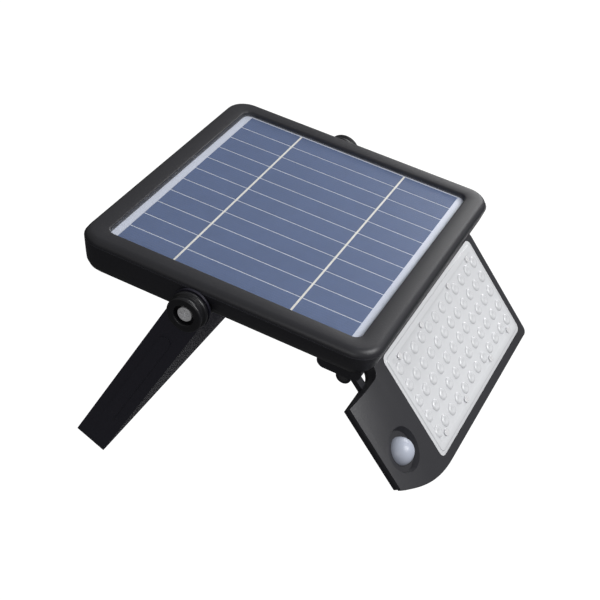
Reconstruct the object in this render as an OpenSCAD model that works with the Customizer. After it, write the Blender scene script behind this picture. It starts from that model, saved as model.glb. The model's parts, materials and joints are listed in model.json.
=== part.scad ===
// Solar flood light: a solar housing that tilts on a U-shaped wall bracket, and an LED head
// that swings on a hinge under the housing's front edge.
// Frame: the origin is the centre of the bracket plate's outer face. +X points to the LED head,
// +Y runs along both pivot axes and +Z is square to the solar panel.

/* [Solar housing] */
// Length of the housing, from its back edge to its front edge
housing_len = 197; // [185:1:240]
// Width of the housing, side to side
housing_wid = 205; // [195:1:250]
// Corner radius of the housing in plan
housing_corner = 16; // [15:0.5:20]
// Wall thickness of the housing shells
shell_wall = 2.4; // [1.8:0.1:3]
// Height of the top cover, from the parting line to its top face
cover_h = 4.5; // [4:0.5:7]
// Room above the battery cells, up to the parting line
bay_headroom = 3.5; // [3.5:0.5:12]
// Depth of the shell in front of the battery bay
front_depth = 18.5; // [18:0.5:22]
// Radius of the rounded lower edge of the shell
lower_edge_r = 13.5; // [8:0.5:13.5]
// Width of the ledge that the shell leaves around the cover
shell_ledge = 0.8; // [0.4:0.1:1.2]

/* [Solar panel] */
// Width of the cover's border in front of and behind the panel
border_x = 15; // [13:0.5:18]
// Width of the cover's border on the panel's two sides
border_y = 13.5; // [13:0.5:16]
// Depth of the panel's face below the cover's top face
panel_recess = 2.5; // [1.5:0.1:3]
// Number of cell strips
strip_count = 11; // [7:1:15]
// Gap between neighbouring strips
strip_gap = 1; // [0.8:0.1:2]
// White margin at both ends of the strips
margin_x = 5.5; // [3:0.5:8]
// White margin beside the outer strips
margin_y = 1.6; // [1:0.1:4]
// Width of a silver ribbon
ribbon_wid = 1.3; // [1:0.1:2]

/* [Wall bracket] */
// Distance from the plate's outer face to the tilt axis
arm_len = 159; // [140:1:190]
// Lean of the bracket away from the panel's normal, in degrees
arm_lean = 23.2; // [0:0.1:30]
// Diameter of an arm's round end, at the tilt axis
arm_end_d = 25.4; // [24:0.2:30]
// Width of the plate and of the arms
strap_wid = 22.7; // [20:0.1:24]
// Thickness of the bracket's steel
bracket_t = 1.6; // [1.5:0.1:3]
// Distance between the centres of the two round screw holes
hole_pitch = 48; // [40:1:56]
// Diameter of the wall screw holes and width of the slots
wall_hole_d = 5; // [4.5:0.1:6]
// Length of a slot
slot_len = 12; // [8:1:16]
// Distance between the centres of the two slots
slot_pitch = 94; // [84:1:110]

/* [Tilt pivot] */
// Distance of the tilt axis behind the panel's centre
pivot_back = 15.5; // [8:0.5:24]
// Distance of the tilt axis below the panel's face
pivot_drop = 13.8; // [13:0.1:15]
// Diameter of the pivot boss on the shell
boss_d = 22; // [18:0.5:22.5]
// Distance from the shell's widest side to an arm
arm_gap = 0.4; // [0.4:0.1:6]
// Diameter of the pivot screws
bolt_d = 6; // [5:0.5:7]
// Radial clearance of a turning shaft in its hole
shaft_fit = 0.06; // [0.02:0.01:0.1]
// Diameter of the knob's flange
knob_d = 24.5; // [22:0.5:28]
// Length of the knob
knob_len = 8.6; // [8:0.2:20]

/* [LED head] */
// Number of lenses in a row
lens_cols = 12; // [8:1:12]
// Number of lens rows
lens_rows = 5; // [4:1:6]
// Distance between neighbouring lenses
lens_pitch = 12.04; // [11:0.01:12.5]
// Diameter of one lens
lens_d = 8.2; // [6:0.2:9]
// Angle of the head's face from the housing's front face, in degrees
head_rest_angle = 44.1; // [30:0.1:50]
// Distance from the hinge axis to the head's face
face_out = 8.6; // [8:0.1:10]
// Thickness of the head
head_t = 9.6; // [9.6:0.1:14]
// Gap between the hinge axis and the head's top edge
head_top_gap = 6.4; // [6:0.1:8]
// How much narrower the head is than the housing
head_inset = 3; // [2:0.5:8]
// Diameter of the sensor's dome
dome_d = 17.5; // [15:0.5:19]
// Diameter of the recess around the dome
dish_d = 29; // [27:0.5:30]

/* [Head hinge] */
// Distance of the hinge axis behind the housing's front edge
hinge_back = 20.5; // [19:0.5:22]
// Distance of the hinge axis below the panel's face
hinge_drop = 33; // [32:0.5:35]
// Outer diameter of the hinge barrels
barrel_d = 9.6; // [9:0.1:11]
// Diameter of the hinge pins
pin_d = 4; // [3:0.5:5]
// Distance from the middle of the light to the outer end of a hinge
hinge_end_y = 85; // [80:1:88]
// Width of one hinge ear on the housing
ear_wid = 5; // [4.5:0.5:6]
// Width of the lug on the head
lug_wid = 6; // [5:0.5:8]
// Gap between an ear and the lug
hinge_gap = 0.35; // [0.3:0.05:0.5]

/* [Battery and board] */
// Number of battery cells
cell_count = 3; // [2:1:3]
// Diameter of a battery cell
cell_d = 18.3; // [18.3:0.1:18.6]
// Length of a battery cell
cell_len = 65; // [65:0.5:70]
// Length of the control board
board_len = 46; // [40:1:50]
// Width of the control board
board_wid = 70; // [60:1:90]
// Diameter of the power button
button_d = 12; // [10:0.5:14]
// Travel of the power button
button_travel = 1.2; // [1:0.1:1.5]

/* [Hidden] */

$fn = 48;
hull_fn = 32;
slab_t = 0.1;
over = 1;
part_gap = 0.3;
head_play = 0.4;
both_sides = [-1, 1];

// Places on the housing, from the centre of the panel's face
half_len = housing_len / 2;
half_wid = housing_wid / 2;
cover_top = panel_recess;
part_z = cover_top - cover_h;
wall_taper = 1.5;
floor_corner = housing_corner - wall_taper - lower_edge_r;
cell_gap = 1;
holder_wall = 1.2;
holder_t = 0.8;
holder_fit = 0.3;
bay_depth = shell_wall + holder_t + cell_d + bay_headroom;
pack_len = cell_count * cell_d + (cell_count - 1) * cell_gap + 2 * holder_fit;
bay_back = -half_len + housing_corner - floor_corner;
bay_room = pack_len + 2 * holder_wall + 2 * cell_gap;
bay_front = bay_back + bay_room - floor_corner;
bay_floor = part_z - bay_depth + shell_wall;
front_floor = part_z - front_depth + shell_wall;
seal_t = 0.6;
seal_inset = 0.3;
seal_wid = 1;

// Solar panel
window_len = housing_len - 2 * border_x;
window_wid = housing_wid - 2 * border_y;
window_corner = 5;
strip_len = window_len - 2 * margin_x;
strip_wid = (window_wid - 2 * margin_y + strip_gap) / strip_count - strip_gap;
strip_pitch = strip_wid + strip_gap;
sheet_t = 0.5;
ribbon_t = 0.15;
strip_t = 0.25;
backsheet_t = 1.6;
tape_t = 0.6;
tape_wid = 8;
ribbon_top = -sheet_t;
strip_top = ribbon_top - ribbon_t;
backsheet_top = strip_top - strip_t;
tape_top = backsheet_top - backsheet_t;
tray_top = tape_top - tape_t;
tray_t = 2;
tray_rim = 9;
panel_fit = 0.2;

// Wall bracket and tilt pivot
arm_in = half_wid + arm_gap;
arm_out = arm_in + bracket_t;
bend_r = 4;
pivot_pos = [arm_len * sin(arm_lean), 0, arm_len * cos(arm_lean)];
rib_wid = 8;
rib_out = 0.6;
rib_low = 34;
rib_high = arm_len - 1.5 * knob_d;
washer_t = 0.6;
washer_d = 14;
boss_back = 2;
insert_d = bolt_d + 2.4;
insert_len = 8;
bolt_head_d = 9.4;
bolt_head_t = 3;
cross_len = 5.6;
cross_wid = 1.2;
cross_depth = 1.5;
knob_in = arm_out + part_gap;
knob_flange_t = 3.4;
knob_neck_t = 1.2;
knob_neck_d = 20.6;
knob_nose_d = 23.2;
knob_recess_d = 13.5;
knob_recess = 4.4;
knob_floor = knob_in + knob_len - knob_recess;
bolt_inner = half_wid - insert_len;

// Head hinge, from the centre of the panel's face
hinge_pos = [half_len - hinge_back, 0, -hinge_drop];
barrel_r = barrel_d / 2;
ear_out = [hinge_end_y, hinge_end_y - ear_wid - lug_wid - 2 * hinge_gap];
lug_out = hinge_end_y - ear_wid - hinge_gap;
block_out = hinge_end_y + 7;
block_in = ear_out[1] - ear_wid;
block_rise = 6.5;
block_front = 12;
block_back = 16;
block_r = 5;
pin_head_d = 6.6;
pin_head_t = 2;

// LED head, from the hinge axis: x out of the face, y across, z up the face
head_half = (housing_wid - head_inset) / 2;
face_back = face_out - head_t;
frame_depth = 6;
back_inset = 1;
frame_back = face_out - frame_depth;
head_wall = 1.6;
head_rim = back_inset + head_wall;
notch_wall = 1.2;
lens_rim = 9.4;
plate_w = (lens_cols - 1) * lens_pitch + 2 * lens_rim;
plate_h = (lens_rows - 1) * lens_pitch + 2 * (lens_rim + 4.6);
plate_corner = 4.5;
plate_end_gap = 5.5;
plate_top = -head_top_gap - 2.7;
plate_t = 2.2;
plate_proud = 0.5;
plate_front = face_out + plate_proud;
plate_seat = plate_front - plate_t;
plate_y = head_half - plate_end_gap - plate_w / 2;
plate_z = plate_top - plate_h / 2;
plate_fit = 0.15;
plate_step = 0.7;
plate_step_wid = 2.6;
lens_h = 1.1;
window_lip = 4;
head_bottom = plate_top - plate_h - 6;
head_mid_z = (head_bottom - head_top_gap) / 2;
head_h = -head_top_gap - head_bottom;
notch_in = block_in - 2;
notch_low = 13.5;
lug_low = notch_low + back_inset + 1;
notch_r = 6;
sweep_r = 85;
sweep_angle = 38;
end_curve_r = 110;
end_curve_y = 29;
led_board_t = 1.6;
led_board_back = frame_back + 0.2;
led_board_front = led_board_back + led_board_t;
led_len = 3.5;
led_wid = 2.8;
led_t = 0.8;
lens_screw_steps = [2, floor(lens_cols / 2) - 1];
lens_screw_z = (lens_rows - 0.1) / 2 * lens_pitch;
lens_screw_d = 2.6;
lens_screw_head_d = 4.4;
lens_screw_head_t = 0.8;
dome_y = -head_half + 18;
dome_z = head_mid_z - 9;
dome_wall = 0.8;
dome_flange_t = 1;
dome_flange_d = dome_d + 4;
sensor_board_t = 1.2;
sensor_gap = 0.6;
sensor_board_x = face_back + head_wall + sensor_gap;
dish_floor = sensor_board_x + sensor_board_t + dome_flange_t + head_wall;
dish_depth = face_out - dish_floor;
can_d = 9;
can_t = 4.4;
head_post_d = 6.4;
head_screw_d = 2.8;
head_screw_head_d = 5;
head_screw_head_t = 1.8;
head_screw_bite = 2.6;
screw_edge = 5.6;
head_screw_yz = [
    [-head_half + screw_edge, -notch_low - screw_edge],
    [-head_half + screw_edge, head_bottom + 25],
    [plate_y - plate_w / 2 - screw_edge, -head_top_gap - screw_edge],
    [plate_y - plate_w / 2 - screw_edge, head_bottom + screw_edge],
    [head_half - screw_edge, -notch_low - screw_edge],
    [head_half - screw_edge, head_bottom + screw_edge]
];

// Battery, board and button, from the centre of the panel's face
cell_pitch = cell_d + cell_gap;
pack_x = bay_back + bay_room / 2;
cell_z = bay_floor + holder_t + cell_d / 2;
board_t = 1.6;
board_x = bay_front + housing_corner - wall_taper - 2 + board_len / 2;
board_y = 24;
board_z = front_floor + 5;
board_edge = 4;
board_post_d = 6;
switch_len = 6;
switch_t = 2.4;
stem_d = 3;
button_pos = [board_x, board_y + board_wid / 5];
button_out = 1.4;
button_fit = 0.15;
ring_t = 1;
shell_screw_d = 3.5;
shell_screw_head_d = 6.4;
shell_post_d = 8;
post_drop = 12;
seat_drop = 15;
screw_length = 11;
shell_screw_side = half_wid - 13;
shell_screw_end = half_len - 12;
shell_screw_xy = [
    [-0.35 * housing_len, shell_screw_side],
    [0.14 * housing_len, shell_screw_side],
    [-shell_screw_end, 36],
    [shell_screw_end, 36]
];

// A plate with rounded corners in the XY plane, centred
module rounded_plate(len, wid, r) {
    square([len - 2 * r, wid], center = true);
    square([len, wid - 2 * r], center = true);
    for (sx = both_sides, sy = both_sides)
        translate([sx * (len / 2 - r), sy * (wid / 2 - r)]) circle(r);
}

// A rounded frame: an outer plate less an inner one
module rounded_ring(len, wid, r, rim) {
    difference() {
        rounded_plate(len, wid, r);
        rounded_plate(len - 2 * rim, wid - 2 * rim, max(r - rim, 0.5));
    }
}

// One level of a tub: four thin corner posts whose centres stay put
module tub_level(x_back, x_front, r, z) {
    for (x = [x_back + housing_corner, x_front - housing_corner], s = both_sides)
        translate([x, s * (half_wid - housing_corner), z])
            cylinder(r = r, h = slab_t, $fn = hull_fn);
}

// A tub with a tapered wall and a rounded lower edge. A negative grow gives the inner shape.
module tub(x_back, x_front, depth, grow, rise) {
    edge = lower_edge_r + grow;
    start_z = part_z - depth + lower_edge_r;
    hull() {
        tub_level(x_back, x_front, housing_corner + grow, part_z + rise - slab_t);
        for (a = [0:18:90])
            tub_level(x_back, x_front, housing_corner + grow - wall_taper - edge * (1 - cos(a)),
                start_z - edge * sin(a));
    }
}

// The two tubs that make the shell's outside or inside
module shell_form(grow, rise) {
    tub(-half_len, half_len, front_depth, grow, rise);
    tub(-half_len, bay_front + housing_corner, bay_depth, grow, rise);
}

// Moves children from the centre of the panel's face to the light's own frame
module in_housing() {
    translate(pivot_pos + [pivot_back, 0, pivot_drop]) children();
}

// Moves children from the hinge axis to the light's own frame, at the head's rest angle
module in_head() {
    in_housing() translate(hinge_pos) rotate([0, -head_rest_angle, 0]) children();
}

// A cylinder along +Y, on both sides of the light, from y_in to y_out
module side_cylinders(d, y_in, y_out) {
    for (s = both_sides)
        translate([0, s * (y_in + y_out) / 2, 0]) rotate([90, 0, 0])
            cylinder(d = d, h = y_out - y_in, center = true);
}

// The tilt axis, seen from the centre of the panel's face
module at_pivot() {
    translate([-pivot_back, 0, -pivot_drop]) children();
}

// Puts children at each screw of the housing
module at_shell_screws() {
    for (p = shell_screw_xy, s = both_sides) translate([p[0], s * p[1], 0]) children();
}

// ---------- Wall bracket ----------

// Outline of one arm seen from the side, with x along the light and y up the arm
module arm_outline() {
    translate([0, arm_len]) circle(d = arm_end_d);
    translate([-strap_wid / 2, 0]) square([strap_wid, arm_len]);
}

// The U of bent steel, seen along the light, before it is cut to the arm's outline
module bracket_profile(inset) {
    height = arm_len + arm_end_d;
    translate([0, height / 2])
        square([2 * (arm_out - inset), height - 2 * inset - 2 * bend_r], center = true);
    translate([0, height / 2])
        square([2 * (arm_out - bend_r), height - 2 * inset], center = true);
    for (s = both_sides, z = [bend_r, height - bend_r])
        translate([s * (arm_out - bend_r), z]) circle(bend_r - inset);
}

// The pressed rib of an arm: a flat bar with round ends, from y_in to y_out
module arm_rib(width, y_in, y_out) {
    for (s = both_sides)
        translate([0, s * (y_in + y_out) / 2, 0]) rotate([90, 0, 0]) {
            linear_extrude(y_out - y_in, center = true) {
                translate([0, rib_low]) circle(d = width);
                translate([0, rib_high]) circle(d = width);
                translate([-width / 2, rib_low]) square([width, rib_high - rib_low]);
            }
        }
}

module slot(len, d) {
    square([d, len - d], center = true);
    for (s = both_sides) translate([0, s * (len - d) / 2]) circle(d = d);
}

module plate_holes() {
    for (s = both_sides) {
        translate([0, s * hole_pitch / 2, -over])
            cylinder(d = wall_hole_d, h = bracket_t + 2 * over);
        translate([0, s * slot_pitch / 2, -over])
            linear_extrude(bracket_t + 2 * over) slot(slot_len, wall_hole_d);
    }
}

module wall_bracket() {
    color([0.1, 0.1, 0.11]) rotate([0, arm_lean, 0]) difference() {
        union() {
            intersection() {
                rotate([90, 0, 90]) linear_extrude(2 * arm_end_d, center = true) difference() {
                    bracket_profile(0);
                    bracket_profile(bracket_t);
                    translate([0, arm_len + arm_end_d])
                        square([2 * (arm_in - bend_r), arm_end_d], center = true);
                }
                rotate([90, 0, 0]) linear_extrude(3 * arm_out, center = true) arm_outline();
            }
            arm_rib(rib_wid, arm_out - over / 2, arm_out + rib_out);
        }
        arm_rib(rib_wid - 2 * rib_out, arm_in - over, arm_in + rib_out);
        translate([0, 0, arm_len])
            side_cylinders(bolt_d + 2 * shaft_fit, arm_in - over, arm_out + over);
        plate_holes();
    }
}

module arm_washers() {
    color([0.16, 0.16, 0.16]) translate(pivot_pos) difference() {
        side_cylinders(washer_d, arm_in - washer_t, arm_in);
        side_cylinders(bolt_d + 2 * shaft_fit, arm_in - washer_t - over, arm_in + over);
    }
}

// ---------- Solar housing ----------

// The cover's outside, rounded down to the parting line
module cover_form() {
    edge = cover_h;
    hull() for (a = [0:18:90])
        tub_level(-half_len, half_len, housing_corner - shell_ledge - edge * (1 - cos(a)),
            part_z + (edge - slab_t) * sin(a));
}

module cover_posts(d, low) {
    at_shell_screws() translate([0, 0, low]) cylinder(d = d, h = part_z - low);
}

module top_cover() {
    pocket_len = window_len + 2 * panel_fit;
    pocket_wid = window_wid + 2 * panel_fit;
    tray_edge = tape_wid / 2 + shell_wall;
    color([0.13, 0.13, 0.14]) in_housing() difference() {
        union() {
            cover_form();
            cover_posts(shell_post_d, part_z - post_drop);
            translate([0, 0, tray_top - tray_t])
                linear_extrude(part_z - tray_top + tray_t + slab_t)
                    rounded_plate(pocket_len + 2 * tray_edge, pocket_wid + 2 * tray_edge,
                        window_corner + shell_wall);
        }
        translate([0, 0, tray_top]) linear_extrude(cover_top - tray_top + over)
            rounded_plate(pocket_len, pocket_wid, window_corner);
        translate([0, 0, tray_top - tray_t - over]) linear_extrude(tray_t + 2 * over)
            rounded_plate(window_len - 2 * tray_rim, window_wid - 2 * tray_rim, window_corner);
        at_shell_screws() translate([0, 0, part_z - post_drop - over])
            cylinder(d = shell_screw_d, h = screw_length - seat_drop + post_drop + over);
        at_pivot() side_cylinders(boss_d + 2 * part_gap, bolt_inner - boss_back - part_gap, half_wid);
    }
}

module bottom_shell() {
    color([0.11, 0.11, 0.12]) in_housing() difference() {
        union() {
            shell_form(0, 0);
            at_pivot() side_cylinders(boss_d, bolt_inner - boss_back, arm_in - washer_t - part_gap);
            hinge_blocks();
        }
        difference() {
            shell_form(-shell_wall, over);
            at_pivot() side_cylinders(boss_d, bolt_inner - boss_back, half_wid);
            below_parting(shell_post_d, post_drop);
            board_posts();
        }
        at_pivot() side_cylinders(insert_d, bolt_inner, arm_in);
        translate(hinge_pos) side_cylinders(pin_d, block_in - over, block_out + over);
        translate(hinge_pos) side_cylinders(pin_head_d, hinge_end_y - pin_head_t, block_out + over);
        below_parting(shell_screw_d, 0);
        below_parting(shell_screw_head_d, seat_drop);
        translate([0, 0, part_z - seal_t]) linear_extrude(seal_t + over) seal_outline();
        translate([button_pos[0], button_pos[1], front_floor - shell_wall - over])
            cylinder(d = button_d + 2 * ring_t, h = shell_wall + 2 * over);
    }
}

// At each screw of the housing, a cylinder that ends some way below the parting line
module below_parting(d, drop) {
    low = part_z - bay_depth - over;
    at_shell_screws() translate([0, 0, low]) cylinder(d = d, h = part_z - drop - low);
}

// Outline of a hinge block seen from the side: a bar with rounded lower corners
module block_outline() {
    low = -hinge_drop + block_rise;
    x_back = hinge_pos[0] - block_back;
    x_front = hinge_pos[0] + block_front;
    translate([x_back + block_r, low]) square([x_front - x_back - 2 * block_r, block_r]);
    translate([x_back, low + block_r]) square([x_front - x_back, front_depth / 2]);
    for (x = [x_back + block_r, x_front - block_r]) translate([x, low + block_r]) circle(block_r);
}

// The two ears and the block above them, on both sides
module hinge_blocks() {
    difference() {
        for (s = both_sides)
            translate([0, s * (block_in + block_out) / 2, 0]) rotate([90, 0, 0])
                linear_extrude(block_out - block_in, center = true) block_outline();
        translate(hinge_pos)
            side_cylinders(barrel_d + 4 * part_gap, ear_out[1], hinge_end_y - ear_wid);
        translate(hinge_pos) side_cylinders(barrel_d + 4 * part_gap, hinge_end_y, block_out + over);
    }
    for (y = ear_out)
        translate(hinge_pos) {
            side_cylinders(barrel_d, y - ear_wid, y);
            for (s = both_sides)
                translate([-barrel_r, s * (y - ear_wid / 2) - ear_wid / 2, 0])
                    cube([barrel_d, ear_wid, block_rise + over]);
        }
}

module board_posts() {
    at_board_screws(front_floor - over) cylinder(d = board_post_d, h = board_z - front_floor + over);
}

module seal_outline() {
    edge = 2 * shell_ledge + seal_wid;
    rounded_ring(housing_len - edge, housing_wid - edge, housing_corner - seal_wid, 2 * seal_wid);
}

module shell_seal() {
    color([0.5, 0.5, 0.5]) in_housing() translate([0, 0, part_z - seal_t])
        linear_extrude(seal_t) seal_outline();
}

module panel_layer(top, thick, shrink) {
    translate([0, 0, top - thick]) linear_extrude(thick)
        rounded_plate(window_len - shrink, window_wid - shrink, window_corner - shrink / 2);
}

module panel_tape() {
    color([0.9, 0.9, 0.85]) in_housing() difference() {
        panel_layer(tape_top, tape_t, 1);
        translate([0, 0, tray_top - over]) linear_extrude(tape_t + 2 * over)
            rounded_plate(window_len - 2 * tape_wid, window_wid - 2 * tape_wid, window_corner);
    }
}

module panel_backsheet() {
    color([0.85, 0.87, 0.92]) in_housing() panel_layer(backsheet_top, backsheet_t, 0);
}

module cell_strips() {
    color([0.25, 0.35, 0.6]) in_housing()
        for (i = [0:strip_count - 1])
            translate([0, (i - (strip_count - 1) / 2) * strip_pitch, backsheet_top + strip_t / 2])
                cube([strip_len, strip_wid, strip_t], center = true);
}

module cell_ribbons() {
    ribbon_len = strip_count * strip_pitch - strip_gap;
    color([0.85, 0.85, 0.82]) in_housing()
        for (s = both_sides)
            translate([s * strip_len / 4, 0, strip_top + ribbon_t / 2])
                cube([ribbon_wid, ribbon_len, ribbon_t], center = true);
}

module panel_front_sheet() {
    color([0.8, 0.85, 0.9, 0.3]) in_housing() panel_layer(0, sheet_t, 0);
}

module pivot_inserts() {
    color([0.8, 0.65, 0.3]) in_housing() at_pivot() difference() {
        side_cylinders(insert_d, bolt_inner, arm_in - washer_t - part_gap);
        side_cylinders(bolt_d, bolt_inner - over, arm_in + over);
    }
}

module pivot_screws() {
    color([0.85, 0.86, 0.88]) translate(pivot_pos) {
        side_cylinders(bolt_d, bolt_inner, knob_floor);
        difference() {
            side_cylinders(bolt_head_d, knob_floor, knob_floor + bolt_head_t);
            for (s = both_sides, size = [[cross_len, cross_wid], [cross_wid, cross_len]])
                translate([0, s * (knob_floor + bolt_head_t), 0])
                    cube([size[0], 2 * cross_depth, size[1]], center = true);
        }
    }
}

module pivot_knobs() {
    neck_start = knob_in + knob_flange_t;
    nose_end = knob_in + knob_len;
    foot_t = 1;
    color([0.09, 0.09, 0.1]) translate(pivot_pos) difference() {
        union() {
            side_cylinders(knob_d - 2 * foot_t, knob_in, knob_in + foot_t);
            side_cylinders(knob_d, knob_in + foot_t, neck_start);
            side_cylinders(knob_neck_d, neck_start, neck_start + knob_neck_t);
            side_cylinders(knob_nose_d, neck_start + knob_neck_t, nose_end);
        }
        side_cylinders(bolt_d, knob_in - over, knob_floor + over);
        side_cylinders(knob_recess_d, knob_floor, nose_end + over);
    }
}

module battery_cells() {
    color([0.2, 0.45, 0.75]) in_housing()
        for (i = [0:cell_count - 1])
            translate([pack_x + (i - (cell_count - 1) / 2) * cell_pitch, 0, cell_z])
                rotate([90, 0, 0]) cylinder(d = cell_d, h = cell_len, center = true);
}

module battery_holder() {
    inside = [pack_len, cell_len + 2 * holder_fit];
    height = 0.6 * cell_d;
    color([0.2, 0.2, 0.2]) in_housing() difference() {
        translate([pack_x, 0, bay_floor + height / 2])
            cube([inside[0] + 2 * holder_wall, inside[1] + 2 * holder_wall, height], center = true);
        translate([pack_x, 0, bay_floor + holder_t + cell_d / 2])
            cube([inside[0], inside[1], cell_d], center = true);
    }
}

module control_board() {
    color([0.1, 0.4, 0.2]) in_housing() difference() {
        translate([board_x, board_y, board_z + board_t / 2])
            cube([board_len, board_wid, board_t], center = true);
        at_board_screws(board_z - over) cylinder(d = lens_screw_d, h = board_t + 2 * over);
    }
}

// Puts children at the control board's four screws
module at_board_screws(z) {
    for (sx = both_sides, sy = both_sides)
        translate([board_x + sx * (board_len / 2 - board_edge),
            board_y + sy * (board_wid / 2 - board_edge), z]) children();
}

module board_screws() {
    color("silver") in_housing() at_board_screws(board_z + board_t)
        cylinder(d = lens_screw_head_d, h = 2 * lens_screw_head_t);
}

// The two chips, the two connectors and the coil on the control board
module board_chips() {
    chips = [[-8, -16], [-11, 8]];
    chip_size = [8, 7, 1.8];
    connectors = [[15, -15], [15, 15]];
    connector_size = [6, 12, 7];
    coil_d = 10;
    color([0.15, 0.15, 0.16]) in_housing() translate([board_x, board_y, board_z + board_t]) {
        for (p = chips) translate([p[0], p[1], chip_size[2] / 2]) cube(chip_size, center = true);
        for (p = connectors)
            translate([p[0], p[1], connector_size[2] / 2]) cube(connector_size, center = true);
        translate([4, -4, 0]) cylinder(d = coil_d, h = 0.6 * coil_d);
    }
}

module power_switch() {
    color([0.2, 0.2, 0.2]) in_housing()
        translate([button_pos[0], button_pos[1], board_z - switch_t / 2])
            cube([switch_len, switch_len, switch_t], center = true);
}

module power_button() {
    low = front_floor - shell_wall - button_out;
    collar_t = 0.6;
    top = board_z - switch_t - button_travel - part_gap;
    color([0.4, 0.4, 0.42]) in_housing() translate([button_pos[0], button_pos[1], 0]) {
        translate([0, 0, low])
            cylinder(d = button_d - 2 * button_fit, h = front_floor + collar_t - low);
        translate([0, 0, front_floor]) cylinder(d = stem_d, h = top - front_floor);
    }
}

module button_ring() {
    color([0.05, 0.05, 0.05]) in_housing()
        translate([button_pos[0], button_pos[1], front_floor - shell_wall]) difference() {
            cylinder(d = button_d + 2 * ring_t, h = shell_wall);
            translate([0, 0, -over]) cylinder(d = button_d + 2 * button_fit, h = shell_wall + 2 * over);
        }
}

module shell_screws() {
    seat = part_z - seat_drop;
    screw_head_t = 2;
    color("silver") in_housing() at_shell_screws() {
        translate([0, 0, seat - screw_head_t]) cylinder(d = shell_screw_head_d - head_play, h = screw_head_t);
        translate([0, 0, seat]) cylinder(d = shell_screw_d, h = screw_length);
    }
}

// ---------- Head hinge ----------

module hinge_pins() {
    color([0.3, 0.3, 0.32]) in_housing() translate(hinge_pos) {
        side_cylinders(pin_d, block_in, hinge_end_y);
        side_cylinders(pin_head_d - head_play, hinge_end_y - pin_head_t, hinge_end_y);
    }
}

// ---------- LED head: x out of the face, y across, z up the face ----------

// Lays a flat outline, drawn with x across and y up the face, between two depths
module head_slab(x_in, x_out) {
    translate([x_in, 0, 0]) rotate([90, 0, 90]) linear_extrude(x_out - x_in) children();
}

// The head's outline, with the swept lower corner and the cut-away upper corner at the sensor's end
module head_outline(shrink) {
    corner = 4;
    sweep_y = -head_half + sweep_r * sin(sweep_angle);
    difference() {
        translate([0, head_mid_z])
            rounded_plate(2 * (head_half - shrink), head_h - 2 * shrink, corner - shrink / 2);
        difference() {
            translate([-head_half - over, head_bottom - over])
                square([sweep_y + head_half + over, head_h / 3]);
            translate([sweep_y, head_bottom + sweep_r]) circle(sweep_r - shrink, $fn = 180);
        }
        notch_cut(-head_half - over, -notch_in + shrink, notch_low + shrink);
    }
}

// The same outline less the cut-out behind the lens plate, which clears the other hinge
module back_outline(shrink, notch_shrink) {
    difference() {
        head_outline(shrink);
        notch_cut(head_half + over, notch_in - notch_shrink, notch_low + notch_shrink);
    }
}

// A corner cut-out that reaches below the top edge, with a round inner corner
module notch_cut(y_out, y_in, low) {
    side = sign(y_in - y_out);
    inner = y_in - side * notch_r;
    translate([min(y_out, inner), -low]) square([abs(inner - y_out), low]);
    translate([min(y_out, y_in), -low + notch_r]) square([abs(y_in - y_out), low - notch_r]);
    translate([inner, -low + notch_r]) circle(notch_r);
}

module lens_plate_outline(grow) {
    translate([plate_y, plate_z])
        rounded_plate(plate_w + 2 * grow, plate_h + 2 * grow, max(plate_corner + grow, 0.5));
}

// Puts children at the lens screws, which sit between the lenses above and below the grid
module at_lens_screws(x) {
    for (n = lens_screw_steps, sy = both_sides, sz = both_sides)
        translate([x, plate_y + sy * n * lens_pitch, plate_z + sz * lens_screw_z])
            rotate([0, 90, 0]) children();
}

// Puts children at the screws that close the head
module at_head_screws(x) {
    for (p = head_screw_yz) translate([x, p[0], p[1]]) rotate([0, 90, 0]) children();
}

module head_frame() {
    color([0.12, 0.12, 0.13]) in_head() difference() {
        head_slab(frame_back, face_out) head_outline(0);
        difference() {
            head_slab(frame_back - over, plate_seat - head_wall) back_outline(head_rim, notch_wall);
            head_slab(frame_back + 1, face_out) sensor_end_outline();
            translate([frame_back + 1, dome_y, dome_z]) rotate([0, 90, 0])
                cylinder(d = dish_d, h = frame_depth);
            at_head_screws(frame_back) cylinder(d = head_post_d, h = frame_depth);
        }
        head_slab(frame_back - over, plate_seat - head_wall)
            notch_cut(head_half + over, notch_in, notch_low);
        head_slab(plate_seat, face_out + over) lens_plate_outline(plate_fit);
        head_slab(frame_back - over, face_out) lens_plate_outline(-window_lip);
        translate([dish_floor, dome_y, dome_z]) rotate([0, 90, 0])
            cylinder(d1 = dish_d - 4, d2 = dish_d + 1, h = dish_depth + over);
        translate([frame_back - over, dome_y, dome_z]) rotate([0, 90, 0]) {
            cylinder(d = dome_d, h = frame_depth + over);
            cylinder(d = dome_flange_d + 1, h = dish_floor - head_wall - frame_back + over);
        }
        at_head_screws(frame_back - over) cylinder(d = head_screw_d, h = head_screw_bite + over);
        end_curve();
    }
}

// The sensor's end of the head, where the face falls away and the frame is thicker behind it
module sensor_end_outline() {
    translate([-head_half - over, head_bottom - over]) square([end_curve_y - 8, head_h + 2 * over]);
}

// The face falls away towards the sensor's end
module end_curve() {
    start_y = -head_half + end_curve_y;
    difference() {
        translate([face_out - end_curve_r / 2, -head_half - over, head_bottom - over])
            cube([end_curve_r / 2 + over, end_curve_y + over, head_h + 2 * over]);
        translate([face_out - end_curve_r, start_y, head_bottom - 2 * over])
            cylinder(r = end_curve_r, h = head_h + 4 * over, $fn = 180);
    }
}

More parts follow.
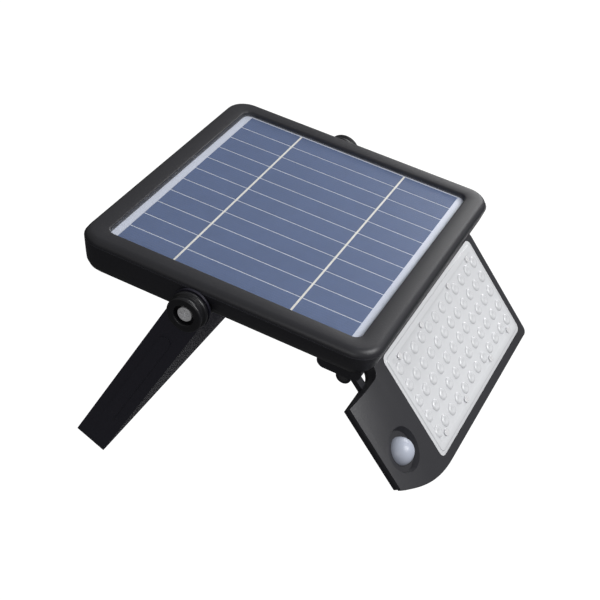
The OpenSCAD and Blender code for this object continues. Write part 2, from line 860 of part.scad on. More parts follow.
module head_back() {
    lug_in = lug_out - lug_wid;
    color([0.1, 0.1, 0.11]) in_head() difference() {
        union() {
            difference() {
                head_slab(face_back, frame_back) back_outline(back_inset, 0);
                head_slab(face_back + head_wall, frame_back + over) back_outline(head_rim, notch_wall);
            }
            at_lens_screws(face_back) cylinder(d = head_post_d - 1, h = led_board_back - face_back);
            at_head_screws(face_back) cylinder(d = head_post_d, h = frame_back - face_back);
            side_cylinders(barrel_d, lug_in, lug_out);
            for (s = both_sides)
                translate([face_back, s * (lug_in + lug_out) / 2 - lug_wid / 2, -lug_low])
                    cube([frame_back - face_back, lug_wid, lug_low]);
        }
        side_cylinders(pin_d + 2 * shaft_fit, lug_in - over, lug_out + over);
        at_lens_screws(face_back + 1) cylinder(d = lens_screw_d, h = head_t);
        at_head_screws(face_back - over) cylinder(d = head_screw_d, h = head_t);
        at_head_screws(face_back - over) cylinder(d = head_screw_head_d, h = head_screw_head_t + over);
        head_slab(frame_back - seal_t, frame_back + over) head_seal_outline();
    }
}

// The seal lies in the rim of the back shell
module head_seal_outline() {
    difference() {
        back_outline(back_inset + seal_inset, seal_inset);
        back_outline(back_inset + seal_inset + seal_wid, notch_wall - seal_inset);
    }
}

module head_seal() {
    color([0.5, 0.5, 0.5]) in_head() head_slab(frame_back - seal_t, frame_back) head_seal_outline();
}

module lens_plate() {
    color([0.88, 0.9, 0.92]) in_head() difference() {
        union() {
            head_slab(plate_seat, plate_front - plate_step) lens_plate_outline(0);
            head_slab(plate_seat, plate_front) lens_plate_outline(-plate_step_wid);
            at_lenses(plate_front - slab_t) cylinder(d1 = lens_d, d2 = 0.6 * lens_d, h = lens_h + slab_t);
        }
        at_lens_screws(plate_seat - over) cylinder(d = lens_screw_d, h = plate_t + 2 * over);
    }
}

module at_lenses(x) {
    for (i = [0:lens_cols - 1], j = [0:lens_rows - 1])
        translate([x, plate_y + (i - (lens_cols - 1) / 2) * lens_pitch,
            plate_z + (j - (lens_rows - 1) / 2) * lens_pitch]) rotate([0, 90, 0]) children();
}

module lens_screws() {
    color("silver") in_head() {
        at_lens_screws(face_back + 1) cylinder(d = lens_screw_d, h = plate_front - face_back - 1);
        at_lens_screws(plate_front) cylinder(d = lens_screw_head_d, h = lens_screw_head_t);
    }
}

module led_board() {
    color([0.9, 0.9, 0.88]) in_head() difference() {
        head_slab(led_board_back, led_board_front) lens_plate_outline(-window_lip - part_gap);
        head_slab(face_back, face_out) notch_cut(head_half + over, notch_in - notch_wall - part_gap,
            notch_low + notch_wall + part_gap);
        at_lens_screws(face_back) cylinder(d = lens_screw_d, h = head_t);
    }
}

module led_chips() {
    color([0.95, 0.85, 0.4]) in_head() at_lenses(led_board_front)
        translate([0, 0, led_t / 2]) cube([led_len, led_wid, led_t], center = true);
}

module sensor_dome() {
    color([0.9, 0.92, 0.95]) in_head() translate([dish_floor - head_wall, dome_y, dome_z])
        rotate([0, 90, 0]) difference() {
            union() {
                translate([0, 0, -dome_flange_t]) cylinder(d = dome_flange_d, h = dome_flange_t);
                cylinder(d = dome_d - 2 * plate_fit, h = head_wall);
                translate([0, 0, head_wall]) intersection() {
                    sphere(d = dome_d - 2 * plate_fit);
                    cylinder(d = dome_d, h = dome_d);
                }
            }
            translate([0, 0, -2 * dome_flange_t])
                cylinder(d = dome_d - 2 * dome_wall, h = head_wall + 2 * dome_flange_t);
            translate([0, 0, head_wall]) sphere(d = dome_d - 2 * dome_wall);
        }
}

module sensor_board() {
    color([0.1, 0.4, 0.2]) in_head()
        translate([sensor_board_x, dome_y, dome_z]) rotate([0, 90, 0])
            cylinder(d = dome_flange_d, h = sensor_board_t);
}

module sensor_can() {
    color([0.75, 0.75, 0.78]) in_head()
        translate([sensor_board_x + sensor_board_t, dome_y, dome_z]) rotate([0, 90, 0])
            cylinder(d = can_d, h = can_t);
}

module head_screws() {
    color("silver") in_head() {
        at_head_screws(face_back) cylinder(d = head_screw_head_d - head_play, h = head_screw_head_t);
        at_head_screws(face_back + head_screw_head_t)
            cylinder(d = head_screw_d, h = frame_back + head_screw_bite - face_back - head_screw_head_t);
    }
}

wall_bracket();
arm_washers();
top_cover();
bottom_shell();
shell_seal();
panel_tape();
panel_backsheet();
cell_strips();
cell_ribbons();
panel_front_sheet();
pivot_inserts();
pivot_screws();
pivot_knobs();
battery_cells();
battery_holder();
control_board();
board_chips();
power_switch();
power_button();
button_ring();
board_screws();
shell_screws();
hinge_pins();
head_frame();
head_back();
head_seal();
lens_plate();
lens_screws();
led_board();
led_chips();
sensor_dome();
sensor_board();
sensor_can();
head_screws();
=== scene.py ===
import json
import logging
import math
from dataclasses import dataclass, field, replace
from enum import IntEnum

import bmesh
import bpy
from mathutils import Matrix, Vector


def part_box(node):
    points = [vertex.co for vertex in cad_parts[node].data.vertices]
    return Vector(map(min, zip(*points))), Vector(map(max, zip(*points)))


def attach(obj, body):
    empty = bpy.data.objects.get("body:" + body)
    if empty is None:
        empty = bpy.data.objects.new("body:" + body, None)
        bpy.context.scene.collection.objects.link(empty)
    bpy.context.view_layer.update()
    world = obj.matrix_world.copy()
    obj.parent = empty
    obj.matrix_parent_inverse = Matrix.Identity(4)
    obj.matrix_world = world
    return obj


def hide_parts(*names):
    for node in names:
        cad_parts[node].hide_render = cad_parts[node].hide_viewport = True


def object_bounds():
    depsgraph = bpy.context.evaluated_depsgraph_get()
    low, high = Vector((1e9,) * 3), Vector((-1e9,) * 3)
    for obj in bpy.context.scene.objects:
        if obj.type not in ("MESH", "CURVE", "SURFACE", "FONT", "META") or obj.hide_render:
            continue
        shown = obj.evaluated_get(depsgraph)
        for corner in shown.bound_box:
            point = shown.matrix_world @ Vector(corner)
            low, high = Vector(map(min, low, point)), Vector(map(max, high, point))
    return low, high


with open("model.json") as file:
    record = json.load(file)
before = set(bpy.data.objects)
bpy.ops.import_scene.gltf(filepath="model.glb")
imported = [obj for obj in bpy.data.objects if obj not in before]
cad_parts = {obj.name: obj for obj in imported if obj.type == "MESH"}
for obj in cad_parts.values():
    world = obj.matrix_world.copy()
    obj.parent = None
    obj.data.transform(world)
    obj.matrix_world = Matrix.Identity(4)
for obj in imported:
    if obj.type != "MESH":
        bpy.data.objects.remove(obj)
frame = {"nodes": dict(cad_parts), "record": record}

REST_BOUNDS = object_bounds()
LOG = logging.getLogger("solar_flood_light")
MM = 0.001
WHITE = (1.0, 1.0, 1.0, 1.0)
Curve = tuple[tuple[float, float], ...]


# ---------- Shader groups and finishes ----------


class MixInput(IntEnum):
    """The inputs that a Mix node uses in its colour mode."""

    FACTOR = 0
    FIRST = 6
    SECOND = 7


MIX_COLOUR_RESULT = 2


def new_group(name: str, inputs: dict[str, float], outputs: dict[str, str]) -> bpy.types.NodeTree:
    """Starts a shader group with float inputs.

    Args:
        name: The group's name.
        inputs: Name and default of each float input.
        outputs: Name and socket type of each output.

    Returns:
        The group's node tree, with its input and output nodes in place.
    """
    tree = bpy.data.node_groups.new(name, "ShaderNodeTree")
    for key, value in inputs.items():
        socket = tree.interface.new_socket(key, in_out="INPUT", socket_type="NodeSocketFloat")
        socket.default_value = value
    for key, kind in outputs.items():
        tree.interface.new_socket(key, in_out="OUTPUT", socket_type=kind)
    tree.nodes.new("NodeGroupInput").name = "in"
    tree.nodes.new("NodeGroupOutput").name = "out"
    return tree


def connect(tree: bpy.types.NodeTree, socket: bpy.types.NodeSocket, value: object) -> None:
    """Links an input to another socket, or gives it a plain value.

    Args:
        tree: The tree that holds the input.
        socket: The input.
        value: The socket to link, or the value.
    """
    if isinstance(value, bpy.types.NodeSocket):
        tree.links.new(value, socket)
    else:
        socket.default_value = value


def add_node(tree: bpy.types.NodeTree, kind: str, **sockets: object) -> bpy.types.Node:
    """Adds a node and fills its named inputs.

    Args:
        tree: The tree to add to.
        kind: The node's type name.
        **sockets: Input names, with underscores for blanks, and a value or a socket to link.

    Returns:
        The new node.
    """
    node = tree.nodes.new(kind)
    for key, value in sockets.items():
        connect(tree, node.inputs[key.replace("_", " ")], value)
    return node


def math_node(tree: bpy.types.NodeTree, operation: str, *values: object) -> bpy.types.NodeSocket:
    """Adds a maths node.

    Args:
        tree: The tree to add to.
        operation: The operation's name.
        *values: Up to three numbers or sockets.

    Returns:
        The node's output.
    """
    node = tree.nodes.new("ShaderNodeMath")
    node.operation = operation
    for socket, value in zip(node.inputs, values):
        connect(tree, socket, value)
    return node.outputs[0]


def weighted(
    tree: bpy.types.NodeTree, *terms: tuple[bpy.types.NodeSocket, float]
) -> bpy.types.NodeSocket:
    """Adds up sockets, each with its own share.

    Args:
        tree: The tree to add to.
        *terms: Pairs of a socket and its share.

    Returns:
        The sum's socket.
    """
    total: object = 0.0
    for socket, share in terms:
        total = math_node(tree, "MULTIPLY_ADD", socket, share, total)
    return total


def grain_group() -> bpy.types.NodeTree:
    """Builds the moulded grain: fine pits, soft waves and a slow change of tone.

    Returns:
        A group with Height, Tone and Patch outputs between 0 and 1.
    """
    tree = new_group(
        "moulded_grain",
        {"Scale": 900.0, "Wave Scale": 40.0},
        {"Height": "NodeSocketFloat", "Tone": "NodeSocketFloat", "Patch": "NodeSocketFloat"},
    )
    source, target = tree.nodes["in"], tree.nodes["out"]
    place = add_node(tree, "ShaderNodeTexCoord").outputs["Object"]
    pits = add_node(tree, "ShaderNodeTexVoronoi", Vector=place, Scale=source.outputs["Scale"])
    fine = add_node(
        tree, "ShaderNodeTexNoise", Vector=place, Scale=source.outputs["Scale"], Detail=3.0
    )
    wave = add_node(
        tree, "ShaderNodeTexNoise", Vector=place, Scale=source.outputs["Wave Scale"], Detail=2.0
    )
    slow = add_node(
        tree, "ShaderNodeTexNoise", Vector=place, Scale=9.0, Detail=4.0, Roughness=0.62
    )
    height = math_node(tree, "MULTIPLY_ADD", pits.outputs["Distance"], 0.7, fine.outputs["Fac"])
    tree.links.new(height, target.inputs["Height"])
    tone = weighted(tree, (fine.outputs["Fac"], 0.55), (wave.outputs["Fac"], 0.45))
    tree.links.new(tone, target.inputs["Tone"])
    tree.links.new(slow.outputs["Fac"], target.inputs["Patch"])
    return tree


def wear_group() -> bpy.types.NodeTree:
    """Builds the wear mask: small scuffs and specks of dust, scattered in patches.

    Returns:
        A group with a Mask output between 0 and 1.
    """
    tree = new_group("light_wear", {"Scale": 260.0, "Amount": 0.2}, {"Mask": "NodeSocketFloat"})
    source, target = tree.nodes["in"], tree.nodes["out"]
    place = add_node(tree, "ShaderNodeTexCoord").outputs["Object"]
    scale = source.outputs["Scale"]
    specks = add_node(
        tree, "ShaderNodeTexNoise", Vector=place, Scale=scale, Detail=5.0, Roughness=0.7
    )
    patch = add_node(tree, "ShaderNodeTexNoise", Vector=place, Scale=26.0, Detail=2.0)
    sharp = add_node(
        tree, "ShaderNodeMapRange", Value=specks.outputs["Fac"], From_Min=0.6, From_Max=0.74
    )
    broad = add_node(
        tree, "ShaderNodeMapRange", Value=patch.outputs["Fac"], From_Min=0.42, From_Max=0.66
    )
    mask = math_node(tree, "MULTIPLY", sharp.outputs[0], broad.outputs[0])
    worn = math_node(tree, "MULTIPLY", mask, source.outputs["Amount"])
    tree.links.new(worn, target.inputs["Mask"])
    return tree


def streak_group() -> bpy.types.NodeTree:
    """Builds fine streaks, for turned and drawn metal.

    Returns:
        A group with a Streak output between 0 and 1.
    """
    tree = new_group(
        "fine_streaks",
        {"Along": 60.0, "Across X": 2200.0, "Across Y": 60.0},
        {"Streak": "NodeSocketFloat"},
    )
    source, target = tree.nodes["in"], tree.nodes["out"]
    place = add_node(tree, "ShaderNodeTexCoord").outputs["Object"]
    stretch = add_node(
        tree,
        "ShaderNodeCombineXYZ",
        X=source.outputs["Across X"],
        Y=source.outputs["Across Y"],
        Z=source.outputs["Along"],
    )
    scaled = tree.nodes.new("ShaderNodeVectorMath")
    scaled.operation = "MULTIPLY"
    tree.links.new(place, scaled.inputs[0])
    tree.links.new(stretch.outputs[0], scaled.inputs[1])
    noise = add_node(tree, "ShaderNodeTexNoise", Vector=scaled.outputs[0], Scale=1.0, Detail=3.0)
    tree.links.new(noise.outputs["Fac"], target.inputs["Streak"])
    return tree


class Groups:
    """The shared shader groups, built once."""

    def __init__(self) -> None:
        """Builds every group."""
        self.grain = grain_group()
        self.wear = wear_group()
        self.streak = streak_group()

    def use(
        self, tree: bpy.types.NodeTree, group: bpy.types.NodeTree, **values: float
    ) -> bpy.types.Node:
        """Places a group in a material.

        Args:
            tree: The material's node tree.
            group: The group to place.
            **values: The group's inputs, with underscores for blanks.

        Returns:
            The group node.
        """
        node = tree.nodes.new("ShaderNodeGroup")
        node.node_tree = group
        for key, value in values.items():
            node.inputs[key.replace("_", " ")].default_value = value
        return node


@dataclass(frozen=True)
class Finish:
    """A surface: two colours that mix in patches, with grain, wear and gloss."""

    name: str
    dark: tuple[float, float, float]
    light: tuple[float, float, float]
    roughness: float = 0.45
    roughness_swing: float = 0.12
    metallic: float = 0.0
    specular: float = 0.5
    coat: float = 0.0
    coat_roughness: float = 0.1
    grain_scale: float = 900.0
    wave_scale: float = 40.0
    bump: float = 0.15
    bump_distance: float = 0.00015
    wear: float = 0.2
    wear_colour: tuple[float, float, float] = (0.2, 0.2, 0.2)
    alpha: float = 1.0

    def start(self) -> bpy.types.Material:
        """Makes the material and sets the values that are even all over.

        Returns:
            The material, with nothing linked to its shader yet.
        """
        material = bpy.data.materials.new(self.name)
        material.use_nodes = True
        shader = material.node_tree.nodes["Principled BSDF"]
        shader.inputs["Metallic"].default_value = self.metallic
        shader.inputs["Specular IOR Level"].default_value = self.specular
        shader.inputs["Coat Weight"].default_value = self.coat
        shader.inputs["Coat Roughness"].default_value = self.coat_roughness
        shader.inputs["Alpha"].default_value = self.alpha
        return material

    def link(
        self,
        tree: bpy.types.NodeTree,
        colour: bpy.types.NodeSocket,
        rough: bpy.types.NodeSocket,
        height: bpy.types.NodeSocket,
    ) -> None:
        """Links what changes over the surface to the shader.

        Args:
            tree: The material's node tree.
            colour: The base colour.
            rough: The roughness.
            height: The height that the bump follows.
        """
        shader = tree.nodes["Principled BSDF"]
        bump = add_node(
            tree, "ShaderNodeBump", Strength=self.bump, Distance=self.bump_distance, Height=height
        )
        tree.links.new(colour, shader.inputs["Base Color"])
        tree.links.new(rough, shader.inputs["Roughness"])
        tree.links.new(bump.outputs[0], shader.inputs["Normal"])

    def build(self, groups: Groups) -> bpy.types.Material:
        """Builds the material.

        Args:
            groups: The shared shader groups.

        Returns:
            The finished material.
        """
        material = self.start()
        tree = material.node_tree
        grain = groups.use(tree, groups.grain, Scale=self.grain_scale, Wave_Scale=self.wave_scale)
        wear = groups.use(tree, groups.wear, Amount=self.wear)
        patch = grain.outputs["Patch"]
        blend = weighted(tree, (grain.outputs["Tone"], 0.4), (patch, 0.6))
        base = self.mix(tree, blend, self.dark, self.light)
        worn = self.mix(tree, wear.outputs["Mask"], base, self.wear_colour)
        lowest = self.roughness - self.roughness_swing / 2
        rough = math_node(tree, "MULTIPLY_ADD", patch, self.roughness_swing, lowest)
        self.link(tree, worn, rough, grain.outputs["Height"])
        return material

    @staticmethod
    def mix(
        tree: bpy.types.NodeTree, factor: object, first: object, second: object
    ) -> bpy.types.NodeSocket:
        """Mixes two colours.

        Args:
            tree: The tree to add to.
            factor: A number or a socket.
            first: The colour at 0, or a socket.
            second: The colour at 1, or a socket.

        Returns:
            The mixed colour's socket.
        """
        node = tree.nodes.new("ShaderNodeMix")
        node.data_type = "RGBA"
        connect(tree, node.inputs[MixInput.FACTOR], factor)
        for index, colour in ((MixInput.FIRST, first), (MixInput.SECOND, second)):
            opaque = (*colour, 1.0) if isinstance(colour, tuple) else colour
            connect(tree, node.inputs[index], opaque)
        return node.outputs[MIX_COLOUR_RESULT]


@dataclass(frozen=True)
class DrawnMetal(Finish):
    """A bright metal with streaks from turning or drawing."""

    streaks_x: float = 2600.0
    streaks_y: float = 240.0
    streak_gloss: float = 0.18

    def build(self, groups: Groups) -> bpy.types.Material:
        """Builds the plain finish, then lets streaks change its tone and gloss.

        Args:
            groups: The shared shader groups.

        Returns:
            The finished material.
        """
        material = super().build(groups)
        tree = material.node_tree
        shader = tree.nodes["Principled BSDF"]
        streaks = groups.use(
            tree, groups.streak, Across_X=self.streaks_x, Across_Y=self.streaks_y
        ).outputs["Streak"]
        tone = self.mix(tree, streaks, self.dark, self.light)
        tree.links.new(tone, shader.inputs["Base Color"])
        rough = math_node(tree, "MULTIPLY_ADD", streaks, self.streak_gloss, self.roughness)
        tree.links.new(rough, shader.inputs["Roughness"])
        return material


@dataclass(frozen=True)
class CellSilicon(Finish):
    """Blue polycrystalline silicon: flat crystals of nearby blues and fine printed lines."""

    grain_scale: float = 1400.0
    wave_scale: float = 60.0
    crystal_scale: float = 190.0
    slab_ratio: float = 4.2
    finger_pitch: float = 0.0021
    finger_cut: float = 0.93
    finger_share: float = 0.1

    @staticmethod
    def crystals(
        tree: bpy.types.NodeTree, place: bpy.types.NodeSocket, scale: float, channel: str
    ) -> bpy.types.NodeSocket:
        """Makes flat crystals of random tones.

        Args:
            tree: The tree to add to.
            place: The place on the object.
            scale: Crystals to the metre.
            channel: The colour channel that gives the tone.

        Returns:
            The tone's socket.
        """
        crystals = add_node(tree, "ShaderNodeTexVoronoi", Vector=place, Scale=scale)
        colour = crystals.outputs["Color"]
        return add_node(tree, "ShaderNodeSeparateColor", Color=colour).outputs[channel]

    def build(self, groups: Groups) -> bpy.types.Material:
        """Builds the crystals, the printed lines and the slow change of tone.

        Args:
            groups: The shared shader groups.

        Returns:
            The finished material.
        """
        material = self.start()
        tree = material.node_tree
        place = add_node(tree, "ShaderNodeTexCoord").outputs["Object"]
        facet = self.crystals(tree, place, self.crystal_scale, "Red")
        slab = self.crystals(tree, place, self.crystal_scale / self.slab_ratio, "Green")
        grain = groups.use(tree, groups.grain, Scale=self.grain_scale, Wave_Scale=self.wave_scale)
        tone = weighted(tree, (slab, 0.3), (facet, 0.4), (grain.outputs["Patch"], 0.3))
        base = self.mix(tree, tone, self.dark, self.light)
        across = add_node(tree, "ShaderNodeSeparateXYZ", Vector=place).outputs["Y"]
        phase = math_node(tree, "MULTIPLY", across, 2.0 * math.pi / self.finger_pitch)
        wave = math_node(tree, "SINE", phase)
        line = math_node(tree, "GREATER_THAN", wave, self.finger_cut)
        finger = math_node(tree, "MULTIPLY", line, self.finger_share)
        colour = self.mix(tree, finger, base, self.wear_colour)
        rough = math_node(tree, "MULTIPLY_ADD", facet, self.roughness_swing, self.roughness)
        self.link(tree, colour, rough, grain.outputs["Height"])
        return material


class Palette:
    """Every material of the light, by the record's slot name."""

    FINISHES: tuple[Finish, ...] = (
        Finish("black_plastic", (0.022, 0.022, 0.026), (0.038, 0.038, 0.044), 0.4, 0.1, bump=0.25,
               wear=0.06, wear_colour=(0.1, 0.1, 0.1)),
        # The same black plastic as black_plastic, made darker: painted shade for the shaded sides
        # of the lower shell and the head's back.
        Finish("black_plastic_painted_shade", (0.014, 0.014, 0.018), (0.024, 0.024, 0.03), 0.4, 0.12, bump=0.25,
               wear=0.06, wear_colour=(0.08, 0.08, 0.08)),
        Finish("black_gloss", (0.009, 0.009, 0.011), (0.016, 0.016, 0.019), 0.34, 0.1, bump=0.15,
               wear=0.05, wear_colour=(0.08, 0.08, 0.08)),
        Finish("black_paint", (0.015, 0.014, 0.024), (0.024, 0.023, 0.036), 0.46, 0.12, coat=0.2,
               coat_roughness=0.3, grain_scale=520.0, bump=0.25, wear=0.08),
        Finish("washer_rubber", (0.015, 0.015, 0.015), (0.03, 0.03, 0.03), 0.75, bump=0.3),
        Finish("seal_rubber", (0.26, 0.26, 0.27), (0.38, 0.38, 0.39), 0.7, bump=0.3, wear=0.1),
        Finish("white_sheet", (0.72, 0.77, 0.9), (0.8, 0.84, 0.95), 0.4, 0.1, coat=0.3, bump=0.05,
               wear=0.05, wear_colour=(0.6, 0.62, 0.7)),
        Finish("clear_sheet", (0.8, 0.85, 0.95), (0.9, 0.93, 1.0), 0.32, 0.08, bump=0.05, wear=0.0,
               alpha=0.07),
        DrawnMetal("ribbon_silver", (0.86, 0.84, 0.78), (0.98, 0.96, 0.9), 0.38, bump=0.1),
        DrawnMetal("brass", (0.5, 0.37, 0.14), (0.75, 0.58, 0.28), 0.3, metallic=1.0),
        # Chrome screws with a near-white base and little metallic: painted reflection, the
        # brightness that chrome mirrors is painted in as colour.
        DrawnMetal("bright_screw", (0.86, 0.86, 0.88), (0.98, 0.98, 1.0), 0.2, metallic=0.25,
                   coat=0.6, bump=0.05),
        DrawnMetal("dark_screw", (0.1, 0.1, 0.11), (0.2, 0.2, 0.21), 0.34, metallic=1.0, bump=0.08),
        Finish("cell_wrap", (0.06, 0.26, 0.48), (0.1, 0.36, 0.62), 0.3, bump=0.05),
        Finish("board_green", (0.03, 0.17, 0.07), (0.06, 0.27, 0.12), 0.4, bump=0.1),
        Finish("chip_black", (0.02, 0.02, 0.022), (0.05, 0.05, 0.055), 0.5),
        Finish("lens_clear", (0.7, 0.71, 0.735), (0.78, 0.79, 0.81), 0.24, 0.08, coat=0.4,
               coat_roughness=0.12, grain_scale=500.0, bump=0.06, wear=0.04,
               wear_colour=(0.55, 0.55, 0.57)),
        Finish("board_white", (0.78, 0.78, 0.76), (0.86, 0.86, 0.84), 0.5, bump=0.05),
        Finish("led_yellow", (0.84, 0.68, 0.2), (0.92, 0.8, 0.35), 0.4, bump=0.05),
        Finish("dome_white", (0.5, 0.54, 0.65), (0.58, 0.62, 0.72), 0.36, 0.08, coat=0.25,
               coat_roughness=0.2, bump=0.04, wear=0.03, wear_colour=(0.45, 0.46, 0.5)),
        DrawnMetal("can_metal", (0.5, 0.5, 0.52), (0.66, 0.66, 0.68), 0.3, metallic=1.0),
    )
    SILICON = CellSilicon("cell_blue", (0.026, 0.076, 0.225), (0.04, 0.096, 0.262), 0.42, 0.08,
                          specular=0.22, coat=0.08, coat_roughness=0.3, bump=0.03,
                          wear_colour=(0.24, 0.32, 0.5))

    def __init__(self, groups: Groups) -> None:
        """Builds all materials.

        Args:
            groups: The shared shader groups.
        """
        every = (*self.FINISHES, self.SILICON)
        self.materials = {finish.name: finish.build(groups) for finish in every}

    def __getitem__(self, name: str) -> bpy.types.Material:
        """Returns the material of that name."""
        return self.materials[name]


# ---------- Places, taken from the frame ----------


@dataclass
class Places:
    """The light's reference places, read from the CAD nodes' boxes and the joints."""

    head_angle: float = 44.1
    panel: Vector = field(init=False)
    pivot: Vector = field(init=False)
    hinge: Vector = field(init=False)

    def __post_init__(self) -> None:
        """Reads the panel's centre, the tilt axis and the head's hinge axis."""
        low, high = (Vector(corner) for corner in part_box("panel_front_sheet"))
        self.panel = Vector(((low.x + high.x) / 2, 0.0, high.z))
        joints = {joint["name"]: joint for joint in frame["record"]["behaviour"]["joints"]}
        self.pivot = Vector(joints["housing_tilt"]["pos_m"])
        self.hinge = Vector(joints["head_tilt"]["pos_m"])

    def housing(self) -> Matrix:
        """Returns the matrix from the panel's centre to the frame."""
        return Matrix.Translation(self.panel)

    def head(self) -> Matrix:
        """Returns the matrix from the hinge axis, with x out of the head's face, to the frame."""
        turn = Matrix.Rotation(math.radians(-self.head_angle), 4, "Y")
        return Matrix.Translation(self.hinge) @ turn


# ---------- Mesh building ----------


@dataclass
class Section:
    """A rounded rectangle at one height of a loft."""

    length: float
    width: float
    radius: float
    height: float

    def grown(self, by: float, height: float) -> "Section":
        """Returns the section with each side moved out, at another height."""
        return Section(self.length + 2 * by, self.width + 2 * by, self.radius + by, height)


def quarter(steps: int) -> list[float]:
    """Returns the angles of a quarter turn in equal steps, both ends included."""
    return [math.pi / 2 * step / steps for step in range(steps + 1)]


class Shape:
    """A mesh under construction, with a few operators for lofts, turned parts and finishing."""

    RING_GAP = 6.0
    MERGE = 1e-4

    def __init__(self) -> None:
        """Starts an empty mesh."""
        self.bm = bmesh.new()

    def ring(self, section: Section, segments: int) -> list[bmesh.types.BMEdge]:
        """Adds the edge loop of a rounded rectangle.

        Args:
            section: The rectangle's sizes in millimetres.
            segments: Steps around each corner.

        Returns:
            The loop's edges.
        """
        before = set(self.bm.faces)
        made = bmesh.ops.create_grid(self.bm, x_segments=1, y_segments=1, size=0.5)
        bmesh.ops.scale(self.bm, vec=(section.length, section.width, 1.0), verts=made["verts"])
        bmesh.ops.translate(self.bm, vec=(0.0, 0.0, section.height), verts=made["verts"])
        bmesh.ops.bevel(self.bm, geom=made["verts"], offset=section.radius, offset_type="OFFSET",
                        segments=segments, profile=0.5, affect="VERTICES", clamp_overlap=False,
                        material=-1)
        face = next(f for f in self.bm.faces if f not in before)
        edges = list(face.edges)
        bmesh.ops.delete(self.bm, geom=[face], context="FACES_ONLY")
        return edges

    def loft(self, sections: list[Section], segments: int = 8, closed: bool = False) -> None:
        """Joins rounded rectangles into a skin.

        Rings that lie in one plane can't be bridged, so they are made a gap apart and moved back.

        Args:
            sections: The rectangles, in order.
            segments: Steps around each corner.
            closed: True joins the last to the first; False caps both ends.
        """
        loops = [
            self.ring(replace(section, height=self.RING_GAP * index), segments)
            for index, section in enumerate(sections)
        ]
        pairs = list(zip(loops, loops[1:])) + ([(loops[-1], loops[0])] if closed else [])
        for first, second in pairs:
            bmesh.ops.bridge_loops(self.bm, edges=first + second)
        for index, loop in enumerate(loops):
            verts = list({vert for edge in loop for vert in edge.verts})
            drop = sections[index].height - self.RING_GAP * index
            bmesh.ops.translate(self.bm, vec=(0.0, 0.0, drop), verts=verts)
        if not closed:
            for loop in (loops[0], loops[-1]):
                bmesh.ops.contextual_create(self.bm, geom=loop)

    def turn(self, profile: list[tuple[float, float]], steps: int) -> None:
        """Turns a profile about the local x axis.

        Args:
            profile: Pairs of place along the axis and radius, in millimetres.
            steps: Steps around the axis.
        """
        verts = [self.bm.verts.new((along, radius, 0.0)) for along, radius in profile]
        edges = [self.bm.edges.new(pair) for pair in zip(verts, verts[1:])]
        bmesh.ops.spin(self.bm, geom=verts + edges, cent=(0.0, 0.0, 0.0), axis=(1.0, 0.0, 0.0),
                       angle=2.0 * math.pi, steps=steps, use_merge=True, use_duplicate=False)
        bmesh.ops.remove_doubles(self.bm, verts=self.bm.verts, dist=self.MERGE)

    def append(self, other: "Shape", matrix: Matrix) -> None:
        """Adds a copy of another shape.

        Args:
            other: The shape to copy.
            matrix: Where the copy goes.
        """
        mesh = bpy.data.meshes.new("copy")
        other.bm.to_mesh(mesh)
        mesh.transform(matrix)
        self.bm.from_mesh(mesh)
        bpy.data.meshes.remove(mesh)

    def make(self, name: str, matrix: Matrix, sharp: float = 32.0) -> bpy.types.Object:
        """Turns the mesh into a finished object at the origin.

        Args:
            name: The object's name.
            matrix: From the mesh's own axes to the frame, in metres.
            sharp: The angle in degrees over which an edge stays sharp.

        Returns:
            The object.
        """
        bmesh.ops.remove_doubles(self.bm, verts=self.bm.verts, dist=self.MERGE)
        bmesh.ops.recalc_face_normals(self.bm, faces=self.bm.faces)
        self.bm.transform(matrix @ Matrix.Scale(MM, 4))
        return finish_mesh(name, self.bm, sharp)


def finish_mesh(name: str, bm: bmesh.types.BMesh, sharp: float) -> bpy.types.Object:
    """Shades a mesh smooth except over its sharp edges and links it as an object.

    Args:
        name: The object's name.
        bm: The mesh, in metres in the frame. It is freed.
        sharp: The angle in degrees over which an edge stays sharp.

    Returns:
        The object.
    """
    limit = math.radians(sharp)
    for face in bm.faces:
        face.smooth = True
    for edge in bm.edges:
        edge.smooth = len(edge.link_faces) == 2 and edge.calc_face_angle(0.0) < limit
    mesh = bpy.data.meshes.new(name)
    bm.to_mesh(mesh)
    bm.free()
    obj = bpy.data.objects.new(name, mesh)
    bpy.context.scene.collection.objects.link(obj)
    return obj


@dataclass
class Dressing:
    """How a finished piece is attached: its body, its slot and its material."""

    body: str
    slot: str
    material: str = ""

    def apply(self, obj: bpy.types.Object, palette: Palette, *nodes: str) -> bpy.types.Object:
        """Gives a piece its material, picked by its slot unless a material is named, and its body.

        Args:
            obj: The piece.
            palette: The materials.
            *nodes: The CAD nodes that it stands for.

        Returns:
            The piece.
        """
        obj.data.materials.clear()
        obj.data.materials.append(palette[self.material or self.slot])
        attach(obj, self.body)
        if nodes:
            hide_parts(*nodes)
        LOG.info("built %s", obj.name)
        return obj


